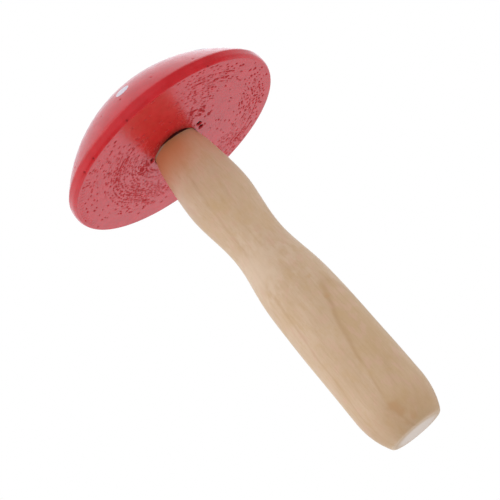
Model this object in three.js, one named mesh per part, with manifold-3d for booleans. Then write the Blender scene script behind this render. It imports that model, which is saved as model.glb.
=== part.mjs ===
// A darning mushroom: a domed, lacquered wooden cap on a turned handle of bare wood.
// Lengths are in millimetres and +Z points up. The mushroom stands on the flat end of its handle,
// the origin is the centre of that end, and every piece is turned about the Z axis.

import * as THREE from "three";
import Module from "manifold-3d";
import { mergeVertices } from "three/addons/utils/BufferGeometryUtils.js";

// Cap
const CAP_DIAMETER = 70;
const RIM_HEIGHT = 3.1; // from the underside to the corner where the crown starts
const CROWN_RISE = 17.7; // from that corner to the top of the dome
const SHOULDER_RADIUS = 1.2; // rounds the corner between the rim and the crown
const RIM_FOOT_RADIUS = 2; // of the arc that draws the rim in towards the underside
const RIM_FOOT_TURN = 42; // degrees of that arc, which ends in a crisp corner

// Handle, measured from the flat end up to the underside of the cap
const END_DIAMETER = 16.2;
const END_EDGE_RADIUS = 0.5;
const END_LENGTH = 11.6; // from the flat end to the widest place of the grip
const GRIP_DIAMETER = 22.4;
const GRIP_LENGTH = 36.9; // from the widest place to the top of the grip
const GRIP_TOP_DIAMETER = 21.1;
const TAPER_LENGTH = 19.5; // from the top of the grip to the waist
const WAIST_DIAMETER = 16.5;
const WAIST_LENGTH = 18; // from the waist to the bulge
const BULGE_DIAMETER = 19.7;
const BULGE_LENGTH = 14.7; // from the bulge to the collar
const COLLAR_DIAMETER = 17.1;
const COLLAR_LENGTH = 6; // from the collar to the underside of the cap

// Joint: the handle's round tenon is pushed into a blind socket in the cap until it meets the floor
const TENON_DIAMETER = 14.4;
const TENON_LENGTH = 13;
const TENON_CHAMFER = 0.8;
const SOCKET_CLEARANCE = 0.3; // all round the tenon

// White paint spots: one on the top of the dome and a ring of them lower down
const SPOT_DIAMETER = 4.6;
const SPOT_THICKNESS = 0.4;
const SPOT_CLEARANCE = 0.3; // round and under each spot, in its recess
const RING_SPOTS = 6;
const RING_RADIUS = 27.2;
const FIRST_SPOT_ANGLE = -93; // degrees about Z, counted from +X

// Fineness of the curved surfaces
const TURNED_SEGMENTS = 64;
const SPOT_SEGMENTS = 24;
const CURVE_STEPS = 5; // on each stretch of the handle's outline
const END_STEPS = 6;
const CROWN_STEPS = 16;
const FILLET_STEPS = 4;

// Vertices closer together than this are one
const MERGE_TOLERANCE = 1e-4;

const LACQUER = { color: "#b81f22", roughness: 0.32, metalness: 0 };
const BARE_WOOD = { color: "#d3b28b", roughness: 0.55, metalness: 0 };
const WHITE_PAINT = { color: "#efeceb", roughness: 0.4, metalness: 0 };

const capRadius = CAP_DIAMETER / 2;
const capHeight = RIM_HEIGHT + CROWN_RISE;
const crownRadius = (capRadius ** 2 + CROWN_RISE ** 2) / (2 * CROWN_RISE);
const crownCentre = capHeight - crownRadius; // height of the crown's centre over the underside
const gripHeight = END_LENGTH;
const gripTopHeight = gripHeight + GRIP_LENGTH;
const waistHeight = gripTopHeight + TAPER_LENGTH;
const bulgeHeight = waistHeight + WAIST_LENGTH;
const collarHeight = bulgeHeight + BULGE_LENGTH;
const undersideHeight = collarHeight + COLLAR_LENGTH;

const wasm = await Module();
wasm.setup();

// Points of an arc in the outline's plane, from one angle to another, both ends included.
function arc(centreR, centreZ, radius, fromAngle, toAngle, steps) {
  return Array.from({ length: steps + 1 }, (_, i) => {
    const angle = THREE.MathUtils.lerp(fromAngle, toAngle, i / steps);
    return new THREE.Vector2(
      centreR + radius * Math.cos(angle),
      centreZ + radius * Math.sin(angle),
    );
  });
}

// A solid of revolution about Z from an outline of (radius, height) points that runs up the outside.
function turned(outline, segments) {
  return new THREE.LatheGeometry(outline, segments).rotateX(Math.PI / 2);
}

function toSolid(geometry) {
  const bare = geometry.clone();
  bare.deleteAttribute("normal");
  bare.deleteAttribute("uv");
  const merged = mergeVertices(bare, MERGE_TOLERANCE);
  return new wasm.Manifold(
    new wasm.Mesh({
      numProp: 3,
      vertProperties: merged.attributes.position.array,
      triVerts: new Uint32Array(merged.index.array),
    }),
  );
}

function toGeometry(solid) {
  const { vertProperties, triVerts } = solid.getMesh();
  const geometry = new THREE.BufferGeometry();
  geometry.setAttribute("position", new THREE.BufferAttribute(vertProperties, 3));
  geometry.setIndex(new THREE.BufferAttribute(triVerts, 1));
  geometry.computeVertexNormals();
  return geometry;
}

function piece(name, geometry, finish) {
  const mesh = new THREE.Mesh(geometry, new THREE.MeshStandardMaterial(finish));
  mesh.name = name;
  return mesh;
}

// The part of the handle's outline that narrows from the grip to the flat end: a quarter of an
// ellipse, cut off by the flat end where its radius has come down to the end's radius. A small
// fillet rounds the edge, between the flat end and the side, which leans outwards there.
function endOutline() {
  const endRadius = END_DIAMETER / 2;
  const gripRadius = GRIP_DIAMETER / 2;
  const halfLength = END_LENGTH / Math.sqrt(1 - (endRadius / gripRadius) ** 2);
  const lean = Math.atan(((gripRadius / halfLength) ** 2 * END_LENGTH) / endRadius);
  const setBack = END_EDGE_RADIUS * Math.tan((Math.PI / 2 - lean) / 2);
  const edge = arc(
    endRadius - setBack,
    END_EDGE_RADIUS,
    END_EDGE_RADIUS,
    -Math.PI / 2,
    -lean,
    FILLET_STEPS,
  );
  const side = Array.from({ length: END_STEPS - 1 }, (_, i) => {
    const height = (gripHeight * (i + 1)) / END_STEPS;
    const fraction = (gripHeight - height) / halfLength;
    return new THREE.Vector2(gripRadius * Math.sqrt(1 - fraction ** 2), height);
  });
  return [...edge, ...side];
}

// The smooth outline from the grip up over the waist and the bulge to the underside of the cap.
function sideOutline() {
  const stations = [
    [gripHeight, GRIP_DIAMETER],
    [gripTopHeight, GRIP_TOP_DIAMETER],
    [waistHeight, WAIST_DIAMETER],
    [bulgeHeight, BULGE_DIAMETER],
    [collarHeight, COLLAR_DIAMETER],
    [undersideHeight, TENON_DIAMETER],
  ];
  const curve = new THREE.SplineCurve(
    stations.map(([height, diameter]) => new THREE.Vector2(diameter / 2, height)),
  );
  return curve.getPoints(CURVE_STEPS * (stations.length - 1));
}

function makeHandle() {
  const tenonRadius = TENON_DIAMETER / 2;
  const top = undersideHeight + TENON_LENGTH;
  const outline = [
    new THREE.Vector2(0, 0),
    ...endOutline(),
    ...sideOutline(),
    new THREE.Vector2(tenonRadius, top - TENON_CHAMFER),
    new THREE.Vector2(tenonRadius - TENON_CHAMFER, top),
    new THREE.Vector2(0, top),
  ];
  return piece("handle", turned(outline, TURNED_SEGMENTS), BARE_WOOD);
}

// Outline of the cap's outside, from the corner of the underside to the top of the dome. A shoulder
// fillet joins the upright rim and the crown, and is as large as the rim leaves room for.
function capOutside() {
  const footTurn = THREE.MathUtils.degToRad(RIM_FOOT_TURN);
  const footHeight = RIM_FOOT_RADIUS * Math.sin(footTurn);
  const roomForShoulder =
    (crownRadius ** 2 - capRadius ** 2 - (footHeight - crownCentre) ** 2) /
    (2 * (crownRadius - capRadius));
  const shoulder = Math.min(SHOULDER_RADIUS, roomForShoulder);
  const shoulderHeight =
    crownCentre +
    Math.sqrt((crownRadius - shoulder) ** 2 - (capRadius - shoulder) ** 2);
  const meeting = Math.atan2(shoulderHeight - crownCentre, capRadius - shoulder);
  const foot = arc(
    capRadius - RIM_FOOT_RADIUS,
    footHeight,
    RIM_FOOT_RADIUS,
    -footTurn,
    0,
    FILLET_STEPS,
  );
  const round = arc(capRadius - shoulder, shoulderHeight, shoulder, 0, meeting, FILLET_STEPS);
  const crown = arc(0, crownCentre, crownRadius, meeting, Math.PI / 2, CROWN_STEPS);
  return [...foot, ...round, ...crown.slice(1, -1), new THREE.Vector2(0, capHeight)];
}

// The cap before its recesses are cut, with its underside at height 0.
function capBlank() {
  const socketRadius = TENON_DIAMETER / 2 + SOCKET_CLEARANCE;
  const outline = [
    new THREE.Vector2(0, TENON_LENGTH),
    new THREE.Vector2(socketRadius, TENON_LENGTH),
    new THREE.Vector2(socketRadius, 0),
    ...capOutside(),
  ];
  return toSolid(turned(outline, TURNED_SEGMENTS));
}

// Outward directions of the spots from the crown's centre: the top first, then the ring.
function spotDirections() {
  const slope = Math.asin(RING_RADIUS / crownRadius);
  const ring = Array.from({ length: RING_SPOTS }, (_, i) => {
    const around = THREE.MathUtils.degToRad(FIRST_SPOT_ANGLE + (360 * i) / RING_SPOTS);
    return new THREE.Vector3(
      Math.sin(slope) * Math.cos(around),
      Math.sin(slope) * Math.sin(around),
      Math.cos(slope),
    );
  });
  return [new THREE.Vector3(0, 0, 1), ...ring];
}

// A round plug that stands square to the dome, from a depth under its surface to well above it.
function plug(direction, radius, depth) {
  const height = 2 * SPOT_DIAMETER;
  const geometry = new THREE.CylinderGeometry(radius, radius, height, SPOT_SEGMENTS);
  const turn = new THREE.Quaternion().setFromUnitVectors(
    new THREE.Vector3(0, 1, 0),
    direction,
  );
  const middle = direction
    .clone()
    .multiplyScalar(crownRadius - depth + height / 2)
    .add(new THREE.Vector3(0, 0, crownCentre));
  geometry.applyQuaternion(turn).translate(middle.x, middle.y, middle.z);
  return toSolid(geometry);
}

// The cap and its spots. Each spot lies in a shallow recess, level with the dome round it.
function makeCap() {
  const group = new THREE.Group();
  group.position.z = undersideHeight;
  const blank = capBlank();
  const recessRadius = SPOT_DIAMETER / 2 + SPOT_CLEARANCE;
  const recessDepth = SPOT_THICKNESS + SPOT_CLEARANCE;
  let cap = blank;
  spotDirections().forEach((direction, i) => {
    cap = cap.subtract(plug(direction, recessRadius, recessDepth));
    const spot = blank.intersect(plug(direction, SPOT_DIAMETER / 2, SPOT_THICKNESS));
    group.add(piece(`white_spot_${i + 1}`, toGeometry(spot), WHITE_PAINT));
  });
  group.add(piece("cap", toGeometry(cap), LACQUER));
  return group;
}

const mushroom = new THREE.Group();
mushroom.add(makeHandle(), makeCap());

export default mushroom;
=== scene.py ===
# The looks of a darning mushroom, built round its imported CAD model.
# Lengths are in metres in the model's frame: +Z runs up the handle to the top of the dome, and the
# photograph looks from the -Y side and from below. Azimuths are in degrees from -Y towards +X.

import math
import random
from collections import namedtuple

import bpy
import numpy as np
from mathutils import Matrix, Vector, kdtree, noise


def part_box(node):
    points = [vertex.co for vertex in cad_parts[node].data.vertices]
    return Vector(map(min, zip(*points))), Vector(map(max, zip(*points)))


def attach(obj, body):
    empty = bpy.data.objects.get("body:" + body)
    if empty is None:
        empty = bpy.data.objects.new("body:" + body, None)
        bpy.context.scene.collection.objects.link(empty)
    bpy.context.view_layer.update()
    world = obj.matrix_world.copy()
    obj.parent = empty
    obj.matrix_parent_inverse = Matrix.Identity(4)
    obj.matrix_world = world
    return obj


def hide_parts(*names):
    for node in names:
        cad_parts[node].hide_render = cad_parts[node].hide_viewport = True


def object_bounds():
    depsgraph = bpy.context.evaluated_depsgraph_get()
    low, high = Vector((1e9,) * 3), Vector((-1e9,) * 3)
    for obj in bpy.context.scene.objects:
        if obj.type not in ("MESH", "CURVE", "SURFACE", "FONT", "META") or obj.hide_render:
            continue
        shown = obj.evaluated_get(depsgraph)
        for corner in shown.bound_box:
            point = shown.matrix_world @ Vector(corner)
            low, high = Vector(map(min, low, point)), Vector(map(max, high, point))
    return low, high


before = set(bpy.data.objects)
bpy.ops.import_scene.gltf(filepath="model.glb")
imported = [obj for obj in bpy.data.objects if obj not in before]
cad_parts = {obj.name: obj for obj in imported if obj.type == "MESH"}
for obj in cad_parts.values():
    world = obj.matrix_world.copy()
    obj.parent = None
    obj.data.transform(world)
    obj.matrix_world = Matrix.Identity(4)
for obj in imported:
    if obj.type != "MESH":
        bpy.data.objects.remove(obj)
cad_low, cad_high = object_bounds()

MM = 0.001

# Camera, from a fit to the object's outlines in the photograph
CAMERA_PLACE = Vector((0.0, -0.40843, -0.06482))
CAMERA_AIM = Vector((-0.00291, 0.0, 0.06850))
CAMERA_ROLL = math.radians(40.187)  # the picture's upward direction leans this far to the right
CAMERA_LENS = 111.03  # millimetres, for a sensor 36 wide
CAMERA_SENSOR = 36.0

# Cap
CAP_RADIUS = cad_high.x
DOME_TOP = cad_high.z
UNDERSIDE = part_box("cap")[0].z
CROWN_RISE = 17.7 * MM
SHOULDER_RADIUS = 1.2 * MM
RIM_FOOT_RADIUS = 2 * MM
RIM_FOOT_TURN = math.radians(42)
SOCKET_RADIUS = 7.5 * MM
SOCKET_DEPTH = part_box("handle")[1].z - UNDERSIDE
MOUTH_BEVEL = 0.18 * MM  # worn edge of the socket's mouth
CROWN_RADIUS = (CAP_RADIUS**2 + CROWN_RISE**2) / (2 * CROWN_RISE)
CROWN_CENTRE = DOME_TOP - CROWN_RADIUS
FLAT_RADIUS = CAP_RADIUS - RIM_FOOT_RADIUS * (1 - math.cos(RIM_FOOT_TURN))

# Handle: heights and radii of its outline over the flat end
END_RADIUS = 8.1 * MM
END_EDGE_RADIUS = 1.2 * MM  # worn rounder than the model's 0.5
GRIP_STATIONS = [
    (11.6 * MM, 11.2 * MM),
    (48.5 * MM, 10.55 * MM),
    (68.0 * MM, 8.25 * MM),
    (86.0 * MM, 9.85 * MM),
    (100.7 * MM, 8.55 * MM),
    (106.7 * MM, 7.2 * MM),
]
TENON_CHAMFER = 0.8 * MM

# Paint spots
SPOT_RADIUS = 2.3 * MM
SPOT_BULGE = 0.14 * MM
SPOT_ROOT = 0.05 * MM  # how far the paint reaches into the lacquer
SPOT_COUNT = 7
SPOT_STEPS = 16
SPOT_UNEVENNESS = 0.05  # share by which its edge runs in and out

# Fineness
CURVE_STEPS = 12
Zone = namedtuple("Zone", "name along around finish")


def arc(centre, radius, first, last, steps):
    """Points (radius, height) of an arc in the outline's plane, both ends included."""
    angles = np.linspace(first, last, steps + 1)
    return [
        (centre[0] + radius * math.cos(a), centre[1] + radius * math.sin(a))
        for a in angles
    ]


def catmull_rom(points, steps):
    """The uniform Catmull-Rom curve through points, with the end points doubled."""
    padded = [points[0], *points, points[-1]]
    curve = [points[0]]
    for before, start, end, after in zip(padded, padded[1:], padded[2:], padded[3:]):
        before, start, end, after = map(np.array, (before, start, end, after))
        leave = (end - before) / 2
        arrive = (after - start) / 2
        for step in range(1, steps + 1):
            t = step / steps
            cubic = (2 * start - 2 * end + leave + arrive) * t**3
            square = (3 * end - 3 * start - 2 * leave - arrive) * t**2
            curve.append(tuple(cubic + square + leave * t + start))
    return curve


def stretch(points, zone):
    """The polyline as evenly spaced rings (radius, height, zone), without its last point."""
    points = np.array(points)
    lengths = np.linalg.norm(np.diff(points, axis=0), axis=1)
    run = np.concatenate([[0], np.cumsum(lengths)])
    count = max(1, round(run[-1] / zone.along))
    at = np.linspace(0, run[-1], count + 1)[:-1]
    radii = np.interp(at, run, points[:, 0])
    heights = np.interp(at, run, points[:, 1])
    return [(r, h, zone) for r, h in zip(radii, heights)]


def bridge(first, second):
    """Triangles between two rings, each (index of its first vertex, number of vertices)."""
    faces = []
    i = j = 0
    while i < first[1] or j < second[1]:
        near = first[0] + i % first[1]
        far = second[0] + j % second[1]
        first_next = j >= second[1] or (
            i < first[1] and (i + 1) * second[1] <= (j + 1) * first[1]
        )
        if first_next:
            i += 1
            after = first[0] + i % first[1]
        else:
            j += 1
            after = second[0] + j % second[1]
        if len({near, after, far}) == 3:
            faces.append((near, after, far))
    return faces


class Turned:
    """A closed mesh turned about Z, from rings that run up its outside.

    Each vertex carries a relief along its normal, the strength of a mark, how open the grain is,
    and how much painted shade darkens its colour.
    """

    def __init__(self, rings):
        places = []
        outward = []
        zones = []
        self.faces = []
        self.finishes = []
        section = np.array([(r, h) for r, h, _ in rings])
        along = np.gradient(section, axis=0)
        normal = np.stack([along[:, 1], -along[:, 0]], axis=1)
        normal /= np.linalg.norm(normal, axis=1, keepdims=True)
        previous = None
        for (radius, height, zone), (out, up) in zip(rings, normal):
            count = max(1, round(2 * math.pi * radius / zone.around)) if radius > 0 else 1
            ring = (len(places), count)
            for step in range(count):
                angle = 2 * math.pi * step / count
                cos, sin = math.cos(angle), math.sin(angle)
                places.append((radius * cos, radius * sin, height))
                outward.append((out * cos, out * sin, up))
                zones.append(zone.name)
            if previous:
                made = bridge(previous, ring)
                self.faces += made
                self.finishes += [last_zone.finish] * len(made)
            previous = ring
            last_zone = zone
        self.places = np.array(places)
        self.outward = np.array(outward)
        self.zones = np.array(zones)
        self.relief = np.zeros(len(places))
        self.marks = np.zeros(len(places))
        self.pores = np.zeros(len(places))
        # painted shade, which darkens the colour where it is strong
        self.shade = np.zeros(len(places))

    def tree(self):
        tree = kdtree.KDTree(len(self.places))
        for index, place in enumerate(self.places):
            tree.insert(place, index)
        tree.balance()
        return tree

    def press(self, tree, place, hollow, zones):
        """Presses a round hollow into the surface and marks it."""
        for _, index, distance in tree.find_range(place, hollow.radius):
            if self.zones[index] in zones:
                share = (1 - (distance / hollow.radius) ** 2) ** 2
                self.relief[index] = min(self.relief[index], -hollow.depth * share)
                self.marks[index] = max(self.marks[index], hollow.strength * share)

    def refinish(self, old, new, strength):
        """Gives the faces of one finish another where their marks are at least this strong."""
        marks = self.marks[np.array(self.faces)].mean(axis=1)
        self.finishes = [
            new if finish == old and mark >= strength else finish
            for finish, mark in zip(self.finishes, marks)
        ]

    def build(self, name, materials):
        mesh = bpy.data.meshes.new(name)
        shaped = self.places + self.outward * self.relief[:, None]
        mesh.from_pydata([tuple(p) for p in shaped], [], self.faces)
        mesh.polygons.foreach_set("material_index", self.finishes)
        mesh.polygons.foreach_set("use_smooth", [True] * len(self.faces))
        layers = {"mark": self.marks, "pores": self.pores, "shade": self.shade}
        for layer, values in layers.items():
            attribute = mesh.attributes.new(layer, "FLOAT", "POINT")
            attribute.data.foreach_set("value", values.astype(np.float32))
        for material in materials:
            mesh.materials.append(material)
        mesh.update()
        piece = bpy.data.objects.new(name, mesh)
        bpy.context.scene.collection.objects.link(piece)
        return piece


def rough(places, size, octaves=1):
    """Smooth noise from -1 to 1 at each place, with lumps of about the given size."""
    scaled = places / size
    total = np.zeros(len(places))
    for octave in range(octaves):
        step = 2.0**octave
        values = [noise.noise(Vector(p * step)) for p in scaled]
        total += np.array(values) / step
    return total


# Cap

SOCKET = Zone("socket", 0.8 * MM, 0.9 * MM, 1)
LIP = Zone("lip", 0.4 * MM, 0.4 * MM, 2)
LIP_DEPTH = 2.5 * MM  # how far the stained lip reaches into the socket
MOUTH = Zone("mouth", 0.12 * MM, 0.25 * MM, 2)
FLAT = Zone("flat", 0.25 * MM, 0.26 * MM, 3)
RIM = Zone("rim", 0.2 * MM, 0.35 * MM, 0)
DOME = Zone("dome", 0.45 * MM, 0.45 * MM, 0)
TORN_FINISH = 4


def cap_rings():
    floor = UNDERSIDE + SOCKET_DEPTH
    lip = UNDERSIDE + LIP_DEPTH
    bevel = UNDERSIDE + MOUTH_BEVEL
    mouth = SOCKET_RADIUS + MOUTH_BEVEL
    foot_height = UNDERSIDE + RIM_FOOT_RADIUS * math.sin(RIM_FOOT_TURN)
    room = (CROWN_RADIUS**2 - CAP_RADIUS**2 - (foot_height - CROWN_CENTRE) ** 2) / (
        2 * (CROWN_RADIUS - CAP_RADIUS)
    )
    shoulder = min(SHOULDER_RADIUS, room)
    shoulder_height = CROWN_CENTRE + math.sqrt(
        (CROWN_RADIUS - shoulder) ** 2 - (CAP_RADIUS - shoulder) ** 2
    )
    meeting = math.atan2(shoulder_height - CROWN_CENTRE, CAP_RADIUS - shoulder)
    foot = arc(
        (CAP_RADIUS - RIM_FOOT_RADIUS, foot_height),
        RIM_FOOT_RADIUS,
        -RIM_FOOT_TURN,
        0,
        CURVE_STEPS,
    )
    round_shoulder = arc(
        (CAP_RADIUS - shoulder, shoulder_height), shoulder, 0, meeting, CURVE_STEPS
    )
    crown = arc((0, CROWN_CENTRE), CROWN_RADIUS, meeting, math.pi / 2, 8 * CURVE_STEPS)
    return [
        *stretch([(0, floor), (SOCKET_RADIUS, floor)], SOCKET),
        *stretch([(SOCKET_RADIUS, floor), (SOCKET_RADIUS, lip)], SOCKET),
        *stretch([(SOCKET_RADIUS, lip), (SOCKET_RADIUS, bevel)], LIP),
        *stretch([(SOCKET_RADIUS, bevel), (mouth, UNDERSIDE)], MOUTH),
        *stretch([(mouth, UNDERSIDE), foot[0]], FLAT),
        *stretch([*foot, *round_shoulder], RIM),
        *stretch(crown, DOME),
        (0, DOME_TOP, DOME),
    ]


def polar(radius, azimuth):
    """The point of the underside at a radius and an azimuth in degrees."""
    turn = math.radians(azimuth)
    return Vector((radius * math.sin(turn), -radius * math.cos(turn), UNDERSIDE))


def on_rim(azimuth, over):
    """The point of the rim's outside at an azimuth and a height over the underside."""
    below = max(0, RIM_FOOT_RADIUS * math.sin(RIM_FOOT_TURN) - over)
    radius = CAP_RADIUS - RIM_FOOT_RADIUS + math.sqrt(RIM_FOOT_RADIUS**2 - below**2)
    return polar(radius, azimuth) + Vector((0, 0, over))


def on_dome(azimuth, slope):
    """The point of the crown at an azimuth and an angle from the top, both in degrees."""
    turn = math.radians(azimuth)
    tilt = math.radians(slope)
    return Vector(
        (
            CROWN_RADIUS * math.sin(tilt) * math.sin(turn),
            -CROWN_RADIUS * math.sin(tilt) * math.cos(turn),
            CROWN_CENTRE + CROWN_RADIUS * math.cos(tilt),
        )
    )


EDGE_FADE = 1 * MM  # over which the relief of the underside fades at its mouth and its corner
GROOVE_WIDTH = 0.5 * MM
GROOVE_SWEEP = 3.0  # how many times a groove changes along its way round
GROOVE_DEPTH = 0.014 * MM
LUMP_SIZE = 0.9 * MM
LUMP_DEPTH = 0.008 * MM
PORE_SEED = 11
PORE_REACH = (SOCKET_RADIUS + 1.2 * MM, CAP_RADIUS - 1 * MM)
PORE_ROW_PITCH = 0.95 * MM
PORE_FLOOR = 0.03  # share of the places that hold a pore where no patch is
PORE_SHARE = 0.8
PORE_ROW_FULLNESS = (0.15, 1.6)  # from a row with few pores to a full one
PORE_STEP = (0.9 * MM, 1.9 * MM)  # along a row
PORE_STRAY = 0.04  # mm off the row
PORE_SIZE = (0.27, 0.42)  # mm
PORE_LENGTH = (0.2, 1.4)  # mm
PORE_STRENGTH = (0.6, 1.3)
TORN_FROM = 0.3  # strength from which a mark is torn open, and dull
Patch = namedtuple("Patch", "azimuth radius turn width share")
PORE_PATCHES = [
    Patch(-88, 16.5, 66, 10.0, 0.80),
    Patch(-45, 27.0, 22, 6.0, 0.25),
    Patch(40, 22.0, 22, 14.0, 0.40),
    Patch(110, 15.0, 25, 4.0, 0.25),
    Patch(100, 27.0, 45, 5.0, 0.22),
    Patch(112, 27.5, 26, 4.0, 0.60),
    Patch(158, 27.0, 24, 7.0, 0.80),
    Patch(42, 27.0, 24, 3.5, 0.45),
    Patch(-50, 20.6, 22, 0.9, 1.00),
    Patch(-82, 12.0, 32, 3.0, 0.65),
    Patch(50, 13.5, 14, 2.2, 1.00),
    Patch(-62, 30.5, 35, 2.5, 0.25),
    Patch(-135, 22.0, 28, 6.0, 0.40),
]  # degrees, mm, degrees, mm
Mark = namedtuple("Mark", "radius azimuth length size strength")
HOLE = 2.5  # strength from which a mark is a deep hole, whose bottom takes painted black-red shade
HOLE_DEPTH = 1.3  # of a hole and of any other mark, by its size
MARK_DEPTH = 0.3
TROUGH = 0.5  # of a mark's length that is pressed as deep as its middle
HOLES = [
    Mark(9.5, 78.5, 0.7, 1.00, 4.4),
    Mark(9.2, 94, 0.8, 0.90, 4.2),
    Mark(8.7, 97, 0.5, 0.45, 2.0),
    Mark(8.4, 69, 0.4, 0.35, 1.5),
    Mark(8.4, -63, 0.4, 0.85, 4.2),
    Mark(8.4, -71, 0.3, 0.70, 3.6),
]  # mm, degrees, mm along the turning marks, mm, share

# Larger pits by kind: the radius in mm of each ring that holds some, and their azimuths
Pit = namedtuple("Pit", "length size strength")
PIT_RINGS = {
    Pit(0.4, 0.40, 1.15): {
        9.5: [-75],
        10.5: [-62],
        12.5: [-91, -74],
        13.3: [-82, -63],
        15: [-73],
        16: [128],
        17: [-128],
        17.7: [-112],
        21: [-41],
        21.6: [-66],
        25: [-31],
        25.5: [-49],
        26: [102, 106, 111, 124, 144, 148],
        28.5: [97, 103, 112, 116],
        29: [109, 148],
        29.5: [55, 123],
        30: [-28],
        31: [76, 118],
        31.5: [-51, 63, 79],
        32: [-53, 109, 120, 128],
        32.6: [51],
    },
    Pit(0.5, 0.50, 1.8): {20: [-37], 26: [120], 31.6: [-21.5], 32: [114]},
    Pit(0.9, 0.42, 1.0): {
        19.5: [-104],
        20.5: [-96],
        20.8: [-89, -81],
        21.6: [-107],
        24: [50],
        26: [-105, -52],
        27.3: [50, 54, 58],
        29: [-151],
        29.6: [57],
    },
    Pit(1.1, 0.42, 1.4): {27.2: [48], 31.6: [136], 32: [65, 79]},
    Pit(1.1, 0.36, 0.8): {
        24.6: [-109, -62],
        27.5: [-67, 64, 69],
        28: [34, 35.5],
        30: [41],
    },
    Pit(0.8, 0.52, 1.1): {21: [-74, -62, -55.5, -51.5, -48], 23.7: [-133], 28.5: [108]},
}
Hollow = namedtuple("Hollow", "radius depth strength")
DOME_PIT = Hollow(0.6 * MM, 0.15 * MM, 0.8)
DOME_PITS = [(-6, 45), (-20, 43), (33.5, 51.5), (12.5, 47), (-48, 50)]  # azimuth, slope
RIM_PIT = Hollow(0.5 * MM, 0.2 * MM, 1.8)
RIM_PITS = [(-42, 0.7), (-33, 0.6), (-9, 0.35), (36.5, 0.1)]  # azimuth, mm over the underside
Blotch = namedtuple("Blotch", "radius azimuth size count strength")
BLOTCHES = [
    Blotch(14.7, 41, 0.75, 12, 1.1),
    Blotch(13.5, 41, 0.40, 4, 1.1),
    Blotch(16.2, 38, 0.40, 4, 0.8),
    Blotch(16, 55, 0.45, 5, 1.0),
    Blotch(15, 53, 0.50, 6, 1.1),
    Blotch(14, 60, 0.45, 6, 1.2),
    Blotch(13, 59, 0.40, 5, 1.0),
    Blotch(12.3, 75, 0.35, 3, 1.2),
    Blotch(14, 78, 0.50, 6, 0.7),
    Blotch(13.2, 79, 0.30, 3, 0.8),
    Blotch(12, -80, 1.80, 18, 0.9),
    Blotch(10.2, -68, 1.00, 8, 1.0),
]  # mm, degrees, mm, pits, share: places where the surface is torn into small pits
BLOTCH_SEED = 5
TEAR_SPREAD = (0.5, 0.75, 0)  # of a blotch's pits, in its sizes
TEAR_SIZE = (0.35 * MM, 0.65 * MM)
TEAR_STRENGTH = (0.7, 1.2)
CHATTER_TURN = (-98, -46, 2.8)  # degrees: from, to, and from dash to dash
CHATTER_REACH = (32.3, 33.5)  # mm
CHATTER_STEPS = 4
CHATTER_DASH = Hollow(0.35 * MM, 0.04 * MM, 0.5)
WORN_AZIMUTH = math.radians(18)  # where the socket's mouth stands open round the handle
WORN_TURN = math.radians(58)
WORN_WIDTH = 0.5 * MM
WORN_REACH = 4 * MM  # along the underside
WORN_DEPTH = 3 * MM  # into the socket
FLOOR_MARGIN = 1 * MM  # at the socket's floor, which stays as it is
TIGHT = 0.26 * MM  # how far the mouth closes on the handle elsewhere
SHADE_AZIMUTH = math.radians(4)  # middle of the painted shade that darkens the lacquer towards the open mouth
SHADE_TURN = math.radians(80)
SHADE_REACH = 7 * MM


def azimuth_of(places):
    return np.arctan2(places[:, 0], -places[:, 1])


def around(azimuth, middle, reach):
    """From 1 at the middle azimuth to 0 at that many radians from it."""
    apart = np.abs((azimuth - middle + math.pi) % (2 * math.pi) - math.pi)
    return 0.5 + 0.5 * np.cos(math.pi * np.clip(apart / reach, 0, 1))


def pore_share(radius, azimuth):
    """How likely a place of the underside is to hold a pore, from the patches of open grain."""
    share = PORE_FLOOR
    for patch in PORE_PATCHES:
        apart = (azimuth - patch.azimuth + 180) % 360 - 180
        off = (radius / MM - patch.radius) / patch.width
        share += patch.share * math.exp(-((apart / patch.turn) ** 4) - off**4)
    return share


def shape_underside(cap):
    """Concentric turning marks and the lumps of raised grain under the lacquer."""
    flat = cap.zones == "flat"
    places = cap.places[flat]
    radius = np.hypot(places[:, 0], places[:, 1])
    azimuth = azimuth_of(places)
    sweep = GROOVE_SWEEP * np.stack([np.cos(azimuth), np.sin(azimuth)], axis=1)
    ring = np.column_stack([radius / GROOVE_WIDTH, sweep])
    grooves = rough(ring, 1.0)
    lumps = rough(places, LUMP_SIZE, 2)
    inner = np.clip((radius - SOCKET_RADIUS - MOUTH_BEVEL) / EDGE_FADE, 0, 1)
    outer = np.clip((FLAT_RADIUS - radius) / EDGE_FADE, 0, 1)
    cap.relief[flat] = (grooves * GROOVE_DEPTH + lumps * LUMP_DEPTH) * inner * outer


def score(cap, tree, mark):
    """Presses a short trough that runs along the turning marks."""
    half_turn = math.degrees(TROUGH * mark.length / mark.radius) / 2
    depth = mark.size * (HOLE_DEPTH if mark.strength > HOLE else MARK_DEPTH)
    hollow = Hollow(mark.size * MM, depth * MM, mark.strength)
    for share in np.linspace(-1, 1, 1 + 2 * round(mark.length / mark.size)):
        place = polar(mark.radius * MM, mark.azimuth + share * half_turn)
        cap.press(tree, place, hollow, ("flat", "mouth", "lip"))


def pit_underside(cap, tree):
    """Rows of small pores along the turning marks, thick where the grain lies open."""
    draw = random.Random(PORE_SEED)
    radius, last_radius = PORE_REACH
    while radius < last_radius:
        travelled = 0.0
        full = draw.uniform(*PORE_ROW_FULLNESS)
        while travelled < 2 * math.pi * radius:
            travelled += draw.uniform(*PORE_STEP)
            azimuth = math.degrees(travelled / radius)
            row = radius / MM + draw.gauss(0, PORE_STRAY)
            size = draw.uniform(*PORE_SIZE)
            length = draw.uniform(*PORE_LENGTH)
            strength = draw.uniform(*PORE_STRENGTH)
            if draw.random() < pore_share(radius, azimuth) * PORE_SHARE * full:
                score(cap, tree, Mark(row, azimuth, length, size, strength))
        radius += PORE_ROW_PITCH


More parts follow.
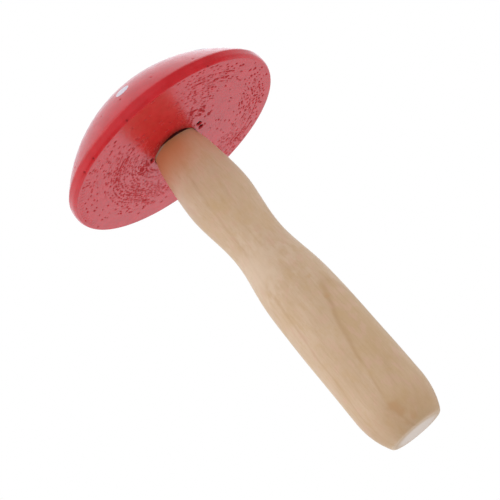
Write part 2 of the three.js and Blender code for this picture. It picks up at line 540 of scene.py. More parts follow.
def chatter(cap, tree):
    """Short dashes that point at the axis, side by side just inside the rim."""
    for azimuth in np.arange(*CHATTER_TURN):
        for radius in np.linspace(*CHATTER_REACH, CHATTER_STEPS):
            place = polar(radius * MM, azimuth)
            cap.press(tree, place, CHATTER_DASH, ("flat",))


def tear(cap, tree, blotch, draw):
    """A cluster of small pits that run into each other."""
    middle = polar(blotch.radius * MM, blotch.azimuth)
    for _ in range(blotch.count):
        off = Vector([draw.gauss(0, spread) for spread in TEAR_SPREAD]) * blotch.size * MM
        size = draw.uniform(*TEAR_SIZE)
        strength = blotch.strength * draw.uniform(*TEAR_STRENGTH)
        cap.press(tree, middle + off, Hollow(size, MARK_DEPTH * size, strength), ("flat",))


def paint_mouth_shade(cap):
    """Paints shade on the lacquer towards the open side of the socket's mouth."""
    flat = cap.zones == "flat"
    places = cap.places[flat]
    radius = np.hypot(places[:, 0], places[:, 1])
    side = around(azimuth_of(places), SHADE_AZIMUTH, SHADE_TURN)
    near = np.clip(1 - (radius - SOCKET_RADIUS - MOUTH_BEVEL) / SHADE_REACH, 0, 1)
    cap.shade[flat] = side * near**2


def open_mouth(cap):
    """Widens the socket's mouth where it stands open round the handle, and closes it elsewhere."""
    radius = np.hypot(cap.places[:, 0], cap.places[:, 1])
    side = around(azimuth_of(cap.places), WORN_AZIMUTH, WORN_TURN)
    up = np.clip((cap.places[:, 2] - UNDERSIDE) / WORN_DEPTH, 0, 1)
    out = np.clip((radius - SOCKET_RADIUS) / WORN_REACH, 0, 1)
    inside = cap.places[:, 2] < UNDERSIDE + SOCKET_DEPTH - FLOOR_MARGIN
    near = (radius < SOCKET_RADIUS + WORN_REACH) & inside
    widen = WORN_WIDTH * side - TIGHT * (1 - side)
    shift = widen * (1 - up) ** 2 * (1 - out) * near
    cap.places[:, :2] *= (1 + shift / np.maximum(radius, MM))[:, None]


def make_cap(materials):
    cap = Turned(cap_rings())
    shape_underside(cap)
    open_mouth(cap)
    tree = cap.tree()
    pit_underside(cap, tree)
    chatter(cap, tree)
    for mark in HOLES:
        score(cap, tree, mark)
    for pit, rings in PIT_RINGS.items():
        for radius, azimuths in rings.items():
            for azimuth in azimuths:
                score(cap, tree, Mark(radius, azimuth, *pit))
    draw = random.Random(BLOTCH_SEED)
    for blotch in BLOTCHES:
        tear(cap, tree, blotch, draw)
    paint_mouth_shade(cap)
    for index in np.flatnonzero(cap.zones == "flat"):
        x, y, _ = cap.places[index]
        share = pore_share(math.hypot(x, y), math.degrees(math.atan2(x, -y)))
        cap.pores[index] = min(1, share)
    for azimuth, slope in DOME_PITS:
        cap.press(tree, on_dome(azimuth, slope), DOME_PIT, ("dome",))
    for azimuth, over in RIM_PITS:
        cap.press(tree, on_rim(azimuth, over * MM), RIM_PIT, ("rim", "flat"))
    for finish in (FLAT.finish, RIM.finish):
        cap.refinish(finish, TORN_FINISH, TORN_FROM)
    return cap.build("turned_cap", materials)


# Handle

SIDE = Zone("side", 0.45 * MM, 0.5 * MM, 0)
EDGE = Zone("edge", 0.1 * MM, 0.4 * MM, 0)
NECK = Zone("neck", 0.12 * MM, 0.3 * MM, 0)
END = Zone("end", 0.4 * MM, 0.5 * MM, 1)
TENON_END = Zone("end", 0.6 * MM, 0.6 * MM, 2)
NECK_LENGTH = 2.0 * MM  # of finer rings on each side of the cap's underside
STAIN_SHADE_WIDTH = 0.06 * MM  # lacquer that ran along the joint and darkened, with painted shade where the joint stands open
STAIN_SHADE_SWELL = 0.31 * MM  # where it is widest
STAIN_SHADE_AZIMUTH = math.radians(18)
STAIN_SHADE_TURN = math.radians(50)
STAIN_SHADE_LEAST = 0.15  # how strong it is where it is weakest
STAIN_SHADE_FADE = 1.3 * STAIN_SHADE_TURN
STAIN_SHADE_RUN_IN = 1.2 * MM  # how far it reaches up the tenon
GLUE_WIDTH = 0.45 * MM  # a smear of dried glue at the joint's left
GLUE_AZIMUTH = math.radians(-42)
GLUE_TURN = math.radians(34)
GLUE_STRENGTH = 1.6  # at its middle, from where it falls to nothing at its edge
WARP_SIZE = 14 * MM  # the side of the handle isn't quite even
WARP_DEPTH = 0.08 * MM
WARP_MARGIN = 1 * MM  # at the flat end and under the cap, which stay even


def end_curve():
    """Points from the rim of the flat end, round its edge, up to the widest place of the grip."""
    grip_height, grip_radius = GRIP_STATIONS[0]
    half_length = grip_height / math.sqrt(1 - (END_RADIUS / grip_radius) ** 2)
    lean = math.atan((grip_radius / half_length) ** 2 * grip_height / END_RADIUS)
    set_back = END_EDGE_RADIUS * math.tan((math.pi / 2 - lean) / 2)
    centre = (END_RADIUS - set_back, END_EDGE_RADIUS)
    edge = arc(centre, END_EDGE_RADIUS, -math.pi / 2, -lean, 6)
    heights = np.linspace(edge[-1][1], grip_height, 4 * CURVE_STEPS)[1:]
    shares = (grip_height - heights) / half_length
    side = [(grip_radius * math.sqrt(1 - s * s), h) for s, h in zip(shares, heights)]
    return [*edge, *side]


def handle_rings():
    side = [(r, h) for h, r in catmull_rom(GRIP_STATIONS, CURVE_STEPS)]
    below = [point for point in side if point[1] < UNDERSIDE - NECK_LENGTH]
    neck = side[len(below) - 1 :]
    foot = end_curve()
    tenon_radius = side[-1][0]
    top = UNDERSIDE + SOCKET_DEPTH
    root = (tenon_radius, UNDERSIDE + NECK_LENGTH)
    tenon = [
        root,
        (tenon_radius, top - TENON_CHAMFER),
        (tenon_radius - TENON_CHAMFER, top),
    ]
    return [
        *stretch([(0, 0), foot[0]], END),
        *stretch(foot[:6], EDGE),
        *stretch(foot[5:], SIDE),
        *stretch(below, SIDE),
        *stretch([*neck, root], NECK),
        *stretch(tenon, SIDE),
        *stretch([tenon[-1], (0, top)], TENON_END),
        (0, top, TENON_END),
    ]


def on_handle(azimuth, height):
    """The point of the handle's side at an azimuth in degrees and a height, all in mm."""
    outline = [*end_curve(), *[(r, h) for h, r in catmull_rom(GRIP_STATIONS, CURVE_STEPS)]]
    heights = [h / MM for _, h in outline]
    radius = np.interp(height, heights, [r / MM for r, _ in outline])
    turn = math.radians(azimuth)
    return (radius * math.sin(turn), -radius * math.cos(turn), height)


def joint_marks(places):
    """From 1, where the joint is stained dark and carries painted shade, to -1, where dried glue is
    smeared on the neck.
    """
    azimuth = azimuth_of(places)
    over = places[:, 2] - UNDERSIDE
    edge = STAIN_SHADE_WIDTH + STAIN_SHADE_SWELL * around(azimuth, STAIN_SHADE_AZIMUTH, STAIN_SHADE_TURN)
    fade_in = np.clip((over + edge) / STAIN_SHADE_WIDTH, 0, 1)
    fade_out = np.clip(2 - over / STAIN_SHADE_RUN_IN, 0, 1)
    fade_in *= STAIN_SHADE_LEAST + (1 - STAIN_SHADE_LEAST) * around(azimuth, STAIN_SHADE_AZIMUTH, STAIN_SHADE_FADE)
    glue = GLUE_WIDTH * around(azimuth, GLUE_AZIMUTH, GLUE_TURN)
    off = np.abs(over + edge + glue / 2) / np.maximum(glue / 2, 0.01 * MM)
    return fade_in * fade_out - np.clip(GLUE_STRENGTH * (1 - off), 0, 1)


def make_handle(materials):
    handle = Turned(handle_rings())
    height = handle.places[:, 2]
    bare = (height > WARP_MARGIN) & (height < UNDERSIDE - WARP_MARGIN) & (handle.zones == "side")
    handle.relief[bare] = rough(handle.places[bare], WARP_SIZE) * WARP_DEPTH
    neck = handle.zones == "neck"
    handle.marks[neck] = joint_marks(handle.places[neck])
    return handle.build("turned_handle", materials)


# Paint spots

PAINT = Zone("paint", 0.16 * MM, 0.22 * MM, 0)


def make_spot(number, material):
    """A dab of paint with a slightly uneven edge, in the place of its CAD disc."""
    name = f"white_spot_{number}"
    low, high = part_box(name)
    centre = Vector((0, 0, CROWN_CENTRE))
    direction = ((low + high) / 2 - centre).normalized()
    radii = np.linspace(0, SPOT_RADIUS, SPOT_STEPS)
    drop = np.sqrt(CROWN_RADIUS**2 - radii**2)
    under = [(r, h - SPOT_ROOT) for r, h in zip(radii, drop)]
    bulge = SPOT_BULGE * np.sqrt(np.clip(1 - (radii / SPOT_RADIUS) ** 4, 0, 1))
    over = [(r, h + b) for r, h, b in zip(radii, drop, bulge)]
    rings = stretch([*under, *over[::-1]], PAINT)
    dab = Turned([*rings, (0, over[0][1], PAINT)])
    angle = np.arctan2(dab.places[:, 1], dab.places[:, 0])
    round_trip = np.stack([np.cos(angle), np.sin(angle), np.full(len(angle), number)], 1)
    swell = 1 + rough(round_trip, 1.0) * SPOT_UNEVENNESS
    dab.places[:, :2] *= swell[:, None]
    piece = dab.build(f"paint_dab_{number}", [material])
    turn = Vector((0, 0, 1)).rotation_difference(direction).to_matrix().to_4x4()
    piece.data.transform(Matrix.Translation(centre) @ turn)
    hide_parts(name)
    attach(piece, "cap")


# Materials

MIX_COLOUR_A = 6  # places of the colour sockets on Blender's Mix node
MIX_COLOUR_B = 7
MIX_COLOUR_OUT = 2
SURFACE_IOR = 1.5


class Nodes:
    """A node tree, with short calls that add a node and join its inputs."""

    def __init__(self, tree):
        self.tree = tree

    def add(self, kind, inputs, **settings):
        node = self.tree.nodes.new(kind)
        for key, value in settings.items():
            setattr(node, key, value)
        for key, value in inputs.items():
            self.join(node, key, value)
        return node

    def join(self, node, key, value):
        if isinstance(value, bpy.types.NodeSocket):
            self.tree.links.new(value, node.inputs[key])
        else:
            node.inputs[key].default_value = value

    def vector(self, operation, first, second=(0, 0, 0)):
        inputs = {0: first, 1: second}
        return self.add("ShaderNodeVectorMath", inputs, operation=operation).outputs

    def level(self, value, low, high, to_low=0.0, to_high=1.0):
        """The value, taken from low..high to to_low..to_high and kept inside."""
        inputs = {
            "Value": value,
            "From Min": low,
            "From Max": high,
            "To Min": to_low,
            "To Max": to_high,
        }
        node = self.add("ShaderNodeMapRange", inputs, interpolation_type="SMOOTHSTEP")
        return node.outputs["Result"]

    def math(self, operation, first, second=0.0):
        node = self.add("ShaderNodeMath", {0: first, 1: second}, operation=operation)
        return node.outputs["Value"]

    def mix(self, share, first, second):
        inputs = {0: share, MIX_COLOUR_A: first, MIX_COLOUR_B: second}
        node = self.add("ShaderNodeMix", inputs, data_type="RGBA")
        return node.outputs[MIX_COLOUR_OUT]


class Shader(Nodes):
    """A material's nodes, which end in one Principled surface."""

    def __init__(self, name, roughness):
        self.material = bpy.data.materials.new(name)
        self.material.use_nodes = True
        super().__init__(self.material.node_tree)
        self.surface = self.tree.nodes["Principled BSDF"]
        self.surface.inputs["Roughness"].default_value = roughness
        self.surface.inputs["IOR"].default_value = SURFACE_IOR

    def place(self, scale=(1, 1, 1), tilt=(0, 0, 0)):
        """The piece's own coordinates in millimetres, turned and then scaled."""
        place = self.add("ShaderNodeTexCoord", {}).outputs["Object"]
        inputs = {
            "Vector": place,
            "Rotation": [math.radians(a) for a in tilt],
            "Scale": [s / MM for s in scale],
        }
        return self.add("ShaderNodeMapping", inputs).outputs["Vector"]

    def ring_place(self, across, along):
        """Coordinates for marks that run round the axis: per millimetre across, per radian along."""
        flat = self.vector("MULTIPLY", self.place(), (1, 1, 0))["Vector"]
        radius = self.vector("LENGTH", flat)["Value"]
        outward = self.vector("NORMALIZE", flat)["Vector"]
        sweep = self.vector("MULTIPLY", outward, (along, along, 0))["Vector"]
        lift = self.add("ShaderNodeCombineXYZ", {"Z": self.math("MULTIPLY", radius, across)})
        return self.vector("ADD", sweep, lift.outputs["Vector"])["Vector"]

    def noise(self, place, scale, detail=2, roughness=0.5):
        inputs = {"Vector": place, "Scale": scale, "Detail": detail, "Roughness": roughness}
        return self.add("ShaderNodeTexNoise", inputs).outputs["Fac"]

    def pattern(self, scale, detail=2, roughness=0.5, tilt=(0, 0, 0)):
        """Noise with its own number of lumps per millimetre along each axis."""
        return self.noise(self.place(scale, tilt), 1.0, detail, roughness)

    def share(self, pattern):
        """How strongly a pattern shows at each place, from 0 to its share."""
        lumps = self.pattern(pattern.scale, pattern.detail)
        return self.level(lumps, pattern.low, pattern.high, 0.0, pattern.share)

    def layer(self, name):
        """A value that each vertex carries."""
        return self.add("ShaderNodeAttribute", {}, attribute_name=name).outputs["Fac"]

    def bump(self, height, distance, under=None):
        inputs = {"Height": height, "Distance": distance}
        if under:
            inputs["Normal"] = under
        return self.add("ShaderNodeBump", inputs).outputs["Normal"]

    def finish(self, colour, roughness=None, normal=None):
        self.join(self.surface, "Base Color", colour)
        if roughness:
            self.join(self.surface, "Roughness", roughness)
        if normal:
            self.join(self.surface, "Normal", normal)
        return self.material


# the lacquer's reds, painted lighter on the dome than on the underside: painted light
DOME_LIT_RED = (0.58, 0.011, 0.018, 1)
DOME_LIT_DARK_RED = (0.525, 0.008, 0.013, 1)
RED = (0.545, 0.010, 0.017, 1)
DARK_RED = (0.49, 0.007, 0.012, 1)
TORN_RED = (0.41, 0.007, 0.013, 1)
DEEP_RED = (0.27, 0.003, 0.005, 1)
# painted shade on the lacquer by the joint's open side
PAINTED_SHADE_RED = (0.15, 0.003, 0.004, 1)
# painted shade at the bottom of deep holes
HOLE_SHADE_BLACK = (0.02, 0.001, 0.001, 1)
WOOD = (0.605, 0.420, 0.266, 1)
WOOD_LIGHT = (0.665, 0.482, 0.330, 1)
WOOD_GOLD = (0.585, 0.382, 0.195, 1)
WOOD_TAN = (0.49, 0.31, 0.16, 1)
WOOD_BROWN = (0.40, 0.205, 0.085, 1)
WOOD_AMBER = (0.56, 0.29, 0.11, 1)
WOOD_PINK = (0.66, 0.425, 0.30, 1)
# painted light on the handle's left side
WOOD_PAINTED_LIGHT = (0.74, 0.58, 0.43, 1)
# painted shade and red reflected light on the neck under the cap
WOOD_SHADE_AND_BOUNCE = (0.62, 0.245, 0.108, 1)
END_GRAIN = (0.65, 0.535, 0.46, 1)
# dark lacquer in the joint, with painted shade in its gap
JOINT_STAIN_AND_SHADE = (0.075, 0.005, 0.004, 1)
GLUE_GREY = (0.40, 0.33, 0.31, 1)
RAW_SOCKET = (0.42, 0.28, 0.17, 1)
PAINT_WHITE = (0.70, 0.61, 0.70, 1)

# Noise lies about its middle, 0.5: these are narrower and wider parts of its range
NARROW = (0.35, 0.65)
WIDE = (0.3, 0.7)
WIDEST = (0.2, 0.8)

DOME_ROUGHNESS = (0.18, 0.27)
DOME_MARKS = (0.2, 0.9)  # strengths over which a mark takes the torn lacquer's colour
UNDERSIDE_ROUGHNESS = (0.26, 0.85)  # whole and torn
UNDERSIDE_MARKS = (0.0, 0.7)
DULL_MARKS = (0.05, 0.6)  # strengths over which the underside's lacquer grows dull
OPEN_GRAIN = 0.5  # the strength of a mark that open grain looks like
RIPPLE_DEPTH = 0.012 * MM  # of the lacquer's skin
GRAIN_ALONG_RING = (1.7, 8.0)  # lumps per millimetre across the rings, and per radian along them
GRAIN_REACH = (0.48, 0.68)
GRAIN_DEPTH = 0.05 * MM
TORN_ROUGHNESS = 0.9
TORN_GLOSS = 0.45
DEEP_MARKS = (0.6, 1.4)
# strengths over which a mark's bottom takes painted shade
HOLE_SHADE_MARKS = (1.2, 2.4)
RAW_DEPTH = 0.1 * MM  # of the grain in raw wood


def lacquer_smooth():
    shader = Shader("red_lacquer_dome", DOME_ROUGHNESS[1])
    place = shader.place()
    cloud = shader.level(shader.noise(place, 0.25, 3), *NARROW)
    # painted light: the dome's red is lighter than the same lacquer underneath
    colour = shader.mix(cloud, DOME_LIT_RED, DOME_LIT_DARK_RED)
    mark = shader.level(shader.layer("mark"), *DOME_MARKS)
    colour = shader.mix(mark, colour, TORN_RED)
    roughness = shader.level(shader.noise(place, 0.6, 3), *WIDE, *DOME_ROUGHNESS)
    normal = shader.bump(shader.noise(place, 1.4), RIPPLE_DEPTH)
    return shader.finish(colour, roughness, normal)


def paint_lacquer_shade(shader, colour):
    """The lacquer's colour with painted shade by the joint's open side, and painted shade at the
    bottom of holes.
    """
    colour = shader.mix(shader.level(shader.layer("shade"), 0.0, 1.0), colour, PAINTED_SHADE_RED)
    return shader.mix(shader.level(shader.layer("mark"), *HOLE_SHADE_MARKS), colour, HOLE_SHADE_BLACK)


def lacquer_rough():
    """Lacquer over turned grain, which shows through it."""
    shader = Shader("red_lacquer_underside", UNDERSIDE_ROUGHNESS[0])
    place = shader.place()
    cloud = shader.level(shader.noise(place, 0.3, 3), *NARROW)
    colour = shader.mix(cloud, RED, DARK_RED)
    grain = shader.noise(shader.ring_place(*GRAIN_ALONG_RING), 1.0)
    grain = shader.level(grain, *GRAIN_REACH)
    grain = shader.math("MULTIPLY", grain, shader.layer("pores"))
    worn = shader.math("MULTIPLY", grain, OPEN_GRAIN)
    torn = shader.math("MAXIMUM", shader.layer("mark"), worn)
    colour = shader.mix(shader.level(torn, *UNDERSIDE_MARKS), colour, TORN_RED)
    colour = paint_lacquer_shade(shader, colour)
    roughness = shader.level(torn, *DULL_MARKS, *UNDERSIDE_ROUGHNESS)
    normal = shader.bump(shader.math("SUBTRACT", 1.0, grain), GRAIN_DEPTH)
    normal = shader.bump(shader.noise(place, 1.8), RIPPLE_DEPTH, under=normal)
    return shader.finish(colour, roughness, normal)


def lacquer_torn():
    """The bottoms of the underside's pits, which hardly shine."""
    shader = Shader("red_lacquer_torn", TORN_ROUGHNESS)
    shader.join(shader.surface, "Specular IOR Level", TORN_GLOSS)
    deep = shader.level(shader.layer("mark"), *DEEP_MARKS)
    return shader.finish(paint_lacquer_shade(shader, shader.mix(deep, TORN_RED, DEEP_RED)))


def darker(colour, share):
    return [c * share for c in colour[:3]] + [1]


def raw_wood(name, colour):
    shader = Shader(name, 0.8)
    place = shader.place((1, 1, 0.4))
    shade = shader.level(shader.noise(place, 1.1, 4), *WIDE)
    normal = shader.bump(shader.noise(place, 2.5, 3), RAW_DEPTH)
    return shader.finish(shader.mix(shade, colour, darker(colour, 0.6)), normal=normal)


LAYER_NORMAL = (0.676, -0.737, -0.069)  # square to the wood's yearly layers
LAYER_SWAY = 1.1  # mm by which the layers wander
LAYER_LINES = [(-2.0, 0.20), (2.6, 0.08), (7.1, 0.26), (10.2, 0.08)]  # mm, darkness
LINE_WIDTH = 0.6  # mm
Fleck = namedtuple("Fleck", "azimuth height size colour share")
FLECKS = [
    Fleck(-1, 7.1, 1.8, "amber", 0.55),
    Fleck(1, 5.0, 1.8, "amber", 0.50),
    Fleck(11, 2.0, 1.6, "amber", 0.50),
    Fleck(-4, 1.8, 1.8, "amber", 0.35),
    Fleck(-20, 1.0, 2.0, "amber", 0.30),
    Fleck(-2, 6.0, 4.2, "brown", 0.26),
    Fleck(16, 7.0, 3.2, "gold", 0.55),
    # pale: painted light from below at the foot's left
    Fleck(-48, 3.5, 4.5, "pale", 0.45),
    Fleck(3, 17.5, 1.8, "gold", 0.40),
    Fleck(28, 41.5, 1.1, "amber", 0.35),
    Fleck(26, 49.0, 1.3, "amber", 0.30),
    # pale: painted light on the waist's left
    Fleck(-35, 60.0, 13.0, "pale", 0.60),
    Fleck(-13, 82.0, 3.2, "gold", 0.40),
    Fleck(-3, 79.0, 3.4, "gold", 0.45),
    Fleck(2, 74.8, 2.6, "gold", 0.45),
    Fleck(27, 75.5, 4.0, "gold", 0.40),
    Fleck(45, 70.0, 5.5, "gold", 0.35),
    # pale: painted light on the neck's left
    Fleck(-62, 91.0, 8.0, "pale", 0.55),
    Fleck(-34, 91.0, 3.4, "gold", 0.30),
    Fleck(-20, 90.5, 2.6, "brown", 0.12),
    Fleck(38, 23.0, 5.0, "gold", 0.25),
    Fleck(150, 60.0, 6.0, "gold", 0.35),
    Fleck(-120, 40.0, 5.0, "gold", 0.30),
    Fleck(190, 22.0, 2.4, "brown", 0.25),
    Fleck(120, 86.0, 3.5, "gold", 0.35),
]  # degrees, mm, mm: places where the wood is darker or yellower, and pale ones that are painted light on its left
FLECK_COLOURS = {
    "gold": WOOD_GOLD,
    "brown": WOOD_BROWN,
    "amber": WOOD_AMBER,
    # pale flecks are painted light
    "pale": WOOD_PAINTED_LIGHT,
}

# Patterns of the bare wood: lumps per millimetre along x, y and z, their detail, the part of the
# noise's range over which they rise, and how much of their colour they then add
Pattern = namedtuple("Pattern", "scale detail low high share")
CLOUDS = Pattern((0.09, 0.09, 0.05), 3, 0.35, 0.70, 1.00)
PATCHES = Pattern((0.16, 0.16, 0.22), 2, 0.50, 0.72, 0.25)
PINK_MOTTLE = Pattern((0.42, 0.42, 0.3), 3, 0.52, 0.66, 0.55)
GOLD_MOTTLE = PINK_MOTTLE._replace(low=0.48, high=0.34, share=0.30)  # where that isn't
SPECKS = Pattern((3.2, 3.2, 0.8), 2, 0.50, 0.70, 0.16)
WANE = Pattern((0.05, 0.05, 0.14), 2, 0.26, 0.50, 1.00)
SWAY = (0.06, 0.06, 0.03)
RAGS = (0.5, 0.5, 0.3)
RAG_STRETCH = (0.6, 1.5)  # of the distances from a fleck's middle
FIBRE = (1.6, 1.6, 0.11)
FIBRE_DETAIL = 4
FIBRE_ROUGHNESS = 0.6
FIBRE_TILT = (0, 6, 0)  # degrees
FIBRE_RISE = (0.42, 0.75)
FIBRE_SHARE = 0.30
FIBRE_DEPTH = 0.025 * MM
GOLDEN_SIDE = (6.5, 7.3)  # mm along the layers' normal, from where the wood is yellower
GOLDEN_SHARE = 0.4

FOOT_SHADE = (2.0, 13.0)  # mm over the flat end, below which painted shade darkens the wood towards tan
FOOT_SHADE_SHARE = 0.5
EDGE_LIGHT = 0.5  # mm over the flat end over which its edge is painted paler, as light from below
EDGE_LIGHT_SHARE = 0.15
# painted shade and red reflected light on the neck under the cap, strongest at the front
NECK_SHADE_RISE = (91.0, 105.5)
NECK_SHADE = (0.98, 0.45)  # how strong it is at the handle's middle, and at its right
NECK_SHADE_RIGHT = (0, 6)  # mm from the middle
NECK_SHADE_BEHIND = 0.35  # of that is left at the back
NECK_SHADE_BACK = (0, 7)
TENON_SHADE = (106.7, 108.7)  # where it ends inside the socket
STAIN_SHADE_MARKS = (0.1, 0.6)  # strengths of a mark over which the joint's stain and painted shade show
GLUE_MARKS = (-0.1, -0.7)  # and over which the glue does


def bare_wood():
    shader = Shader("bare_turned_wood", 0.5)
    place = shader.place()
    across, behind, height = shader.add("ShaderNodeSeparateXYZ", {"Vector": place}).outputs
    colour = shader.mix(shader.share(CLOUDS), WOOD, WOOD_LIGHT)
    layer = shader.vector("DOT_PRODUCT", place, LAYER_NORMAL)["Value"]
    sway = shader.level(shader.pattern(SWAY), *WIDEST, -LAYER_SWAY, LAYER_SWAY)
    layer = shader.math("ADD", layer, sway)
    beyond = shader.level(layer, *GOLDEN_SIDE, 0.0, GOLDEN_SHARE)
    colour = shader.mix(beyond, colour, WOOD_GOLD)
    colour = shader.mix(shader.share(PATCHES), colour, WOOD_GOLD)
    colour = shader.mix(shader.share(PINK_MOTTLE), colour, WOOD_PINK)
    colour = shader.mix(shader.share(GOLD_MOTTLE), colour, WOOD_GOLD)
    fibre = shader.pattern(FIBRE, FIBRE_DETAIL, FIBRE_ROUGHNESS, FIBRE_TILT)
    colour = shader.mix(shader.level(fibre, *FIBRE_RISE, 0.0, FIBRE_SHARE), colour, WOOD_TAN)
    colour = shader.mix(shader.share(SPECKS), colour, WOOD_TAN)
    wane = shader.share(WANE)
    for where, darkness in LAYER_LINES:
        off = shader.math("ABSOLUTE", shader.math("SUBTRACT", layer, where))
        line = shader.level(off, 0.0, LINE_WIDTH, darkness, 0.0)
        colour = shader.mix(shader.math("MULTIPLY", line, wane), colour, WOOD_BROWN)
    ragged = shader.level(shader.pattern(RAGS, 3), *WIDE, *RAG_STRETCH)
    for fleck in FLECKS:
        where = on_handle(fleck.azimuth, fleck.height)
        off = shader.vector("DISTANCE", place, where)["Value"]
        off = shader.math("MULTIPLY", off, ragged)
        share = shader.level(off, 0.0, fleck.size, fleck.share, 0.0)
        colour = shader.mix(share, colour, FLECK_COLOURS[fleck.colour])
    # painted shade: darker tan towards the flat end
    foot = shader.level(height, *FOOT_SHADE, FOOT_SHADE_SHARE, 0.0)
    colour = shader.mix(foot, colour, WOOD_TAN)
    # painted shade and red reflected light under the cap
    neck = shader.level(height, *NECK_SHADE_RISE)
    for fade in (
        shader.level(height, *TENON_SHADE, 1.0, 0.0),
        shader.level(across, *NECK_SHADE_RIGHT, *NECK_SHADE),
        shader.level(behind, *NECK_SHADE_BACK, 1.0, NECK_SHADE_BEHIND),
    ):
        neck = shader.math("MULTIPLY", neck, fade)
    colour = shader.mix(neck, colour, WOOD_SHADE_AND_BOUNCE)
    # painted light from below: the edge over the flat end paler
    edge = shader.level(height, 0.0, EDGE_LIGHT, EDGE_LIGHT_SHARE, 0.0)
    colour = shader.mix(edge, colour, END_GRAIN)
    mark = shader.layer("mark")
    colour = shader.mix(shader.level(mark, *STAIN_SHADE_MARKS), colour, JOINT_STAIN_AND_SHADE)
    colour = shader.mix(shader.level(mark, *GLUE_MARKS), colour, GLUE_GREY)
    return shader.finish(colour, normal=shader.bump(fibre, FIBRE_DEPTH))


END_SOIL_MIDDLE = (0, 1.2, 0)  # mm: the clean part's middle, off the axis
END_SOIL_REACH = (4.4, 8.0)  # mm from there, over which the flat end darkens
END_SOIL = 0.85
END_PORES = (0.55, 0.75)  # part of the noise's range
SAW_MARKS = (0.15, 2.5, 1)  # lumps per millimetre along x, y and z
SAW_DEPTH = 0.04 * MM


def end_grain():
    """The flat sawn end: paler, with fine pores and faint saw marks."""
    shader = Shader("sawn_end_grain", 0.55)
    pores = shader.level(shader.noise(shader.place((1, 1, 0.2)), 3.0, 3), *END_PORES)
    colour = shader.mix(pores, END_GRAIN, darker(END_GRAIN, 0.8))
    off = shader.vector("DISTANCE", shader.place(), END_SOIL_MIDDLE)["Value"]
    colour = shader.mix(shader.level(off, *END_SOIL_REACH, 0.0, END_SOIL), colour, WOOD_TAN)
    return shader.finish(colour, normal=shader.bump(shader.pattern(SAW_MARKS), SAW_DEPTH))


PAINT_DEPTH = 0.03 * MM  # of the brush's traces


def white_paint():
    shader = Shader("white_spot_paint", 0.35)
    place = shader.place()
    shade = shader.level(shader.noise(place, 0.9, 3), *WIDE)
    colour = shader.mix(shade, PAINT_WHITE, darker(PAINT_WHITE, 0.93))
    return shader.finish(colour, normal=shader.bump(shader.noise(place, 1.2), PAINT_DEPTH))


# Stage

FLOOR_RADIUS = 2.5
FLOOR_SIDES = 96
FLOOR_HEIGHT = -0.05 * MM
FLOOR_OPENING = 12 * MM  # round the axis, let light through to the flat end, which the photo shows
FLOOR_COLOUR = (0.90, 0.90, 0.90, 1)
GLOSS_FLOOR = (0.86, 0.89, 0.96, 1)  # what gloss sees of it
FRONT_FLOOR = (0.20, 0.20, 0.21, 1)  # and what gloss sees of it on the camera's side
FRONT_FLOOR_LEAN = (40, 180, 0, 70)  # mm: how that side of the floor reaches further back at its right
FRONT_FLOOR_EDGE = (-20, -80)  # mm along Y, over which it begins
FRONT_LIGHT = 0.72  # how strongly the world lights the object from the camera's side
BACK_LIGHT = 1.27  # and from behind it
LIGHT_SPAN = (-0.8, 0.8)  # from the front to the back
LEFT_LEAN = 0.25  # how much of that light comes more from the left
GLOSS_TINT = (0.88, 1.0, 1.07, 1)
STUDIO_RIGHT = (0.763, 0.206, -0.613)  # the studio's directions: the mushroom lies aslant in it
STUDIO_BACK = (-0.007, 0.951, 0.310)

# What gloss sees of the studio, each from its left to its right over a span of STUDIO_RIGHT
BACK_SHEEN = (-0.5, 0.2, 0.89, 1.95)
RIGHT_DROP = (0.05, 0.4, 1.0, 0.42)  # the share of that which is left further to the right
FRONT_SHEEN = (-0.45, 0.0, 0.62, 0.25)
BACK_EDGE = (0.15, 0.45, -0.05, 0.25)  # where the back begins
BACK_SOFTNESS = 0.34
DARK_SIDE = (-0.498, -0.174, 0.850)  # direction of something dark at the studio's left
DARK_REACH = (0.84, 0.96)  # cosines of its soft outline
DARK_SHEEN = 0.22
KEY_PLACE = Vector((-0.95, -0.45, 1.5))
KEY_SIZE = 1.4
KEY_POWER = 7.0


def make_floor():
    """A pale floor that can be looked through from below, and lights the flat end from below."""
    mesh = bpy.data.meshes.new("floor")
    turns = np.linspace(0, 2 * math.pi, FLOOR_SIDES, endpoint=False)
    ring = [(FLOOR_RADIUS * math.cos(t), FLOOR_RADIUS * math.sin(t), FLOOR_HEIGHT) for t in turns]
    mesh.from_pydata(ring, [], [tuple(range(len(ring)))])
    floor = bpy.data.objects.new("floor", mesh)
    bpy.context.scene.collection.objects.link(floor)
    shader = Shader("floor_paper", 0.9)
    place = shader.place()
    split = shader.add("ShaderNodeSeparateXYZ", {"Vector": place}).outputs
    path = shader.add("ShaderNodeLightPath", {}).outputs
    ahead = shader.math("SUBTRACT", split["Y"], shader.level(split["X"], *FRONT_FLOOR_LEAN))
    glossy = shader.mix(shader.level(ahead, *FRONT_FLOOR_EDGE), GLOSS_FLOOR, FRONT_FLOOR)
    colour = shader.mix(path["Is Glossy Ray"], FLOOR_COLOUR, glossy)
    shader.join(shader.surface, "Base Color", colour)
    shader.join(shader.surface, "Specular IOR Level", 0.0)
    clear = shader.add("ShaderNodeBsdfTransparent", {})
    back = shader.add("ShaderNodeNewGeometry", {}).outputs["Backfacing"]
    inside = shader.math("LESS_THAN", shader.vector("LENGTH", place)["Value"], FLOOR_OPENING / MM)
    unseen = shader.math("SUBTRACT", 1.0, path["Is Camera Ray"])
    open_there = shader.math("MAXIMUM", back, shader.math("MULTIPLY", inside, unseen))
    inputs = {0: open_there, 1: shader.surface.outputs[0], 2: clear.outputs[0]}
    both = shader.add("ShaderNodeMixShader", inputs)
    output = shader.tree.nodes["Material Output"]
    shader.tree.links.new(both.outputs[0], output.inputs["Surface"])
    mesh.materials.append(shader.material)


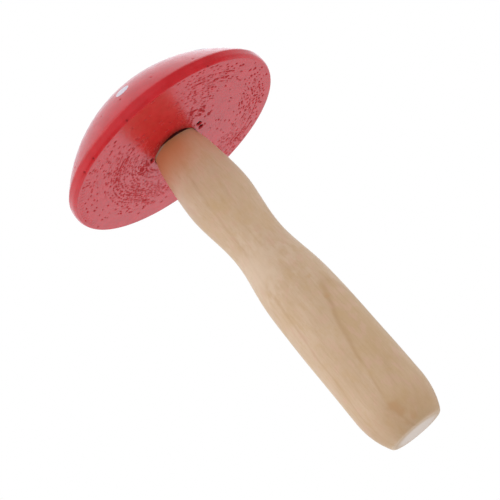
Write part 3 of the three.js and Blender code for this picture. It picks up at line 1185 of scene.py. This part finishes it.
def light_world():
    """A soft even world. It is plain white where it is seen, and gloss finds it dimmer in front."""
    world = bpy.data.worlds.new("studio")
    bpy.context.scene.world = world
    world.use_nodes = True
    nodes = Nodes(world.node_tree)
    background = nodes.tree.nodes["Background"]
    path = nodes.add("ShaderNodeLightPath", {}).outputs
    direction = nodes.add("ShaderNodeTexCoord", {}).outputs["Generated"]
    side, along, _ = nodes.add("ShaderNodeSeparateXYZ", {"Vector": direction}).outputs
    right = nodes.vector("DOT_PRODUCT", direction, STUDIO_RIGHT)["Value"]
    back = nodes.vector("DOT_PRODUCT", direction, STUDIO_BACK)["Value"]
    back = nodes.math("SUBTRACT", back, nodes.level(right, *BACK_EDGE))
    front_sheen = nodes.level(right, *FRONT_SHEEN)
    back_sheen = nodes.level(right, *BACK_SHEEN)
    back_sheen = nodes.math("MULTIPLY", back_sheen, nodes.level(right, *RIGHT_DROP))
    sheen = nodes.level(back, -BACK_SOFTNESS, BACK_SOFTNESS, front_sheen, back_sheen)
    towards_dark = nodes.vector("DOT_PRODUCT", direction, DARK_SIDE)["Value"]
    sheen = nodes.math("MULTIPLY", sheen, nodes.level(towards_dark, *DARK_REACH, 1.0, DARK_SHEEN))
    lean = nodes.math("SUBTRACT", along, nodes.math("MULTIPLY", side, LEFT_LEAN))
    light = nodes.level(lean, *LIGHT_SPAN, FRONT_LIGHT, BACK_LIGHT)
    strength = nodes.level(path["Is Glossy Ray"], 0.0, 1.0, light, sheen)
    for seen in ("Is Transmission Ray", "Is Camera Ray"):
        strength = nodes.level(path[seen], 0.0, 1.0, strength, 1.0)
    nodes.join(background, "Strength", strength)
    nodes.join(background, "Color", nodes.mix(path["Is Glossy Ray"], (1, 1, 1, 1), GLOSS_TINT))


def light_key():
    lamp = bpy.data.lights.new("key", "AREA")
    lamp.size = KEY_SIZE
    lamp.energy = KEY_POWER
    key = bpy.data.objects.new("key", lamp)
    key.location = KEY_PLACE
    key.rotation_mode = "QUATERNION"
    aim = Vector((0, 0, UNDERSIDE / 2)) - KEY_PLACE
    key.rotation_quaternion = aim.to_track_quat("-Z", "Y")
    bpy.context.scene.collection.objects.link(key)


def make_camera():
    data = bpy.data.cameras.new("photograph")
    data.lens = CAMERA_LENS
    data.sensor_width = CAMERA_SENSOR
    camera = bpy.data.objects.new("photograph", data)
    camera.location = CAMERA_PLACE
    camera.rotation_mode = "QUATERNION"
    level = (CAMERA_AIM - CAMERA_PLACE).to_track_quat("-Z", "Y")
    roll = Matrix.Rotation(-CAMERA_ROLL, 3, "Z").to_quaternion()
    camera.rotation_quaternion = level @ roll
    bpy.context.scene.collection.objects.link(camera)
    bpy.context.scene.camera = camera


make_camera()
bpy.context.scene.view_settings.view_transform = "Standard"
light_world()
light_key()
make_floor()

cap = make_cap(
    [
        lacquer_smooth(),
        raw_wood("raw_socket_wood", RAW_SOCKET),
        # the socket's lip: stained dark, with painted shade inside the mouth
        raw_wood("stained_and_shaded_socket_lip", JOINT_STAIN_AND_SHADE),
        lacquer_rough(),
        lacquer_torn(),
    ]
)
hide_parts("cap")
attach(cap, "cap")

handle = make_handle([bare_wood(), end_grain(), raw_wood("raw_tenon_end", WOOD_TAN)])
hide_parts("handle")
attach(handle, "handle")

paint = white_paint()
for number in range(1, SPOT_COUNT + 1):
    make_spot(number, paint)
